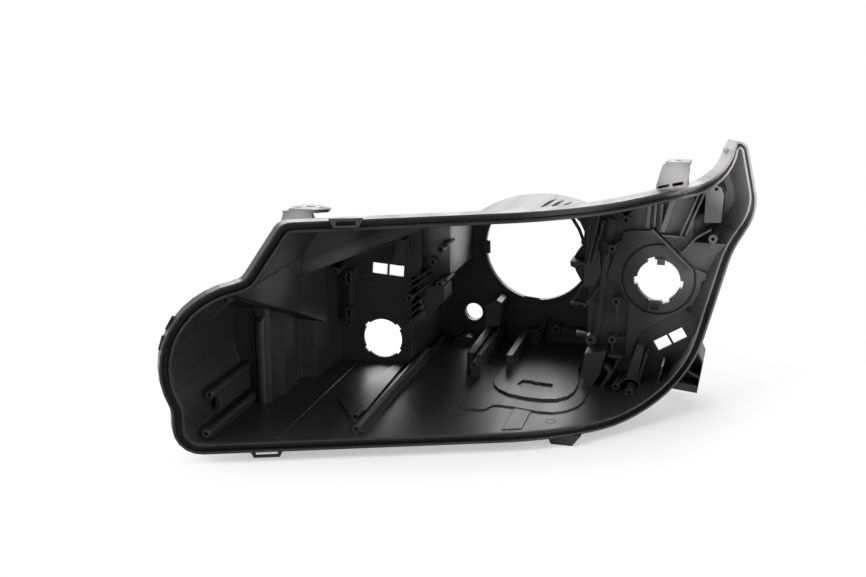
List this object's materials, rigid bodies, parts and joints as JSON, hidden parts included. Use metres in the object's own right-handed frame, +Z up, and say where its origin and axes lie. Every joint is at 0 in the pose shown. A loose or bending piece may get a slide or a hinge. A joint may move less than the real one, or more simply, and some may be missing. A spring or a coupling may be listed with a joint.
{
  "type": "headlamp rear housing",
  "caption": "Open-fronted moulded rear housing of a car headlamp, with a seal channel round its swept rim, lamp openings, screw bosses, mounting arms and clips.",
  "frame": {"origin": "centre of the large lamp opening, on the inner face of its rear wall", "axes": "+Y rearwards along the large lamp opening, away from the lens side; +X outboard; +Z up"},
  "size_m": [0.52, 0.4089, 0.2798],
  "materials": {
    "moulding": "black mineral-filled thermoplastic, fine tool grain"
  },
  "bodies": {
    "root": {"housing": "moulding"}
  },
  "joints": []
}
